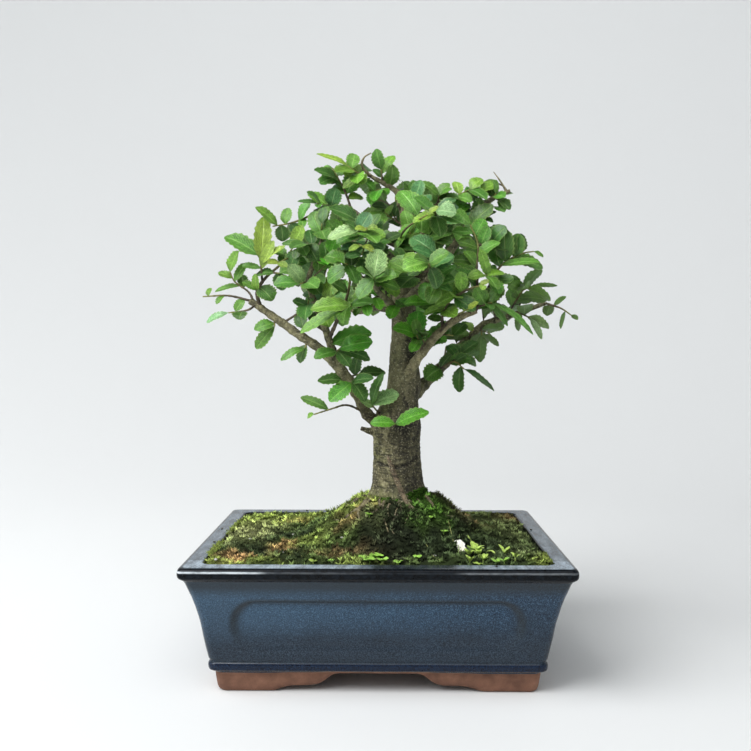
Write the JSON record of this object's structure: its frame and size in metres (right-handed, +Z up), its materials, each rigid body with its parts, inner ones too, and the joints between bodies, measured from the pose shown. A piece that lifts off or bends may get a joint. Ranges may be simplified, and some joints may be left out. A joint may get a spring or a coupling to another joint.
{
  "type": "chinese elm bonsai",
  "caption": "Miniature chinese elm with a straight trunk and small toothed leaves, rooted in a mossy mound in a rectangular blue-glazed pot on cloud-shaped feet.",
  "frame": {"origin": "middle of the whole object's footprint, on the surface that the pot's feet stand on", "axes": "+Z up the trunk, +Y from the front of the pot to its back, +X to the right seen from the front"},
  "size_m": [0.228, 0.1676, 0.2926],
  "materials": {
    "pot": "gloss",
    "screen": "matte",
    "soil": "matte",
    "moss": "matte",
    "bark": "matte",
    "leaf": "satin",
    "weed": "satin",
    "petal": "matte"
  },
  "bodies": {
    "root": {"pot": "pot", "drain_screen_left": "screen", "drain_screen_right": "screen", "soil": "soil", "moss": "moss", "tree_wood": "bark", "spray_left_tip": "leaf", "spray_left_bare": "leaf", "spray_left_tuft": "leaf", "spray_left_riser": "leaf", "spray_upper_left": "leaf", "spray_left_inner": "leaf", "spray_left_outer": "leaf", "spray_bead_twig": "leaf", "spray_top_long": "leaf", "spray_crown": "leaf", "spray_top_middle": "leaf", "spray_top_ridge": "leaf", "spray_spike_tuft": "leaf", "spray_spike_under": "leaf", "spray_right_riser": "leaf", "spray_right_long": "leaf", "spray_right_upright": "leaf", "spray_right_tip": "leaf", "spray_right_low": "leaf", "spray_right_under": "leaf", "spray_hanging_right": "leaf", "spray_trunk_pair": "leaf", "spray_pale_pair": "leaf", "spray_low_left": "leaf", "spray_low_leaves": "leaf", "spray_inner_dark": "leaf", "spray_inner_big": "leaf", "spray_under_left": "leaf", "spray_under_far_left": "leaf", "spray_front_left": "leaf", "spray_front_middle": "leaf", "spray_front_right": "leaf", "spray_front_high_left": "leaf", "spray_front_high_right": "leaf", "spray_middle_right": "leaf", "spray_trunk_cover": "leaf", "spray_back_low": "leaf", "spray_back_left": "leaf", "spray_back_far_left": "leaf", "spray_back_right": "leaf", "spray_back_top": "leaf", "spray_back_right_low": "leaf", "spray_back_middle": "leaf", "spray_back_high_left": "leaf", "spray_back_high_right": "leaf", "weed_front": "weed", "weed_middle": "weed", "weed_right": "weed", "fallen_petal": "petal"}
  },
  "joints": []
}
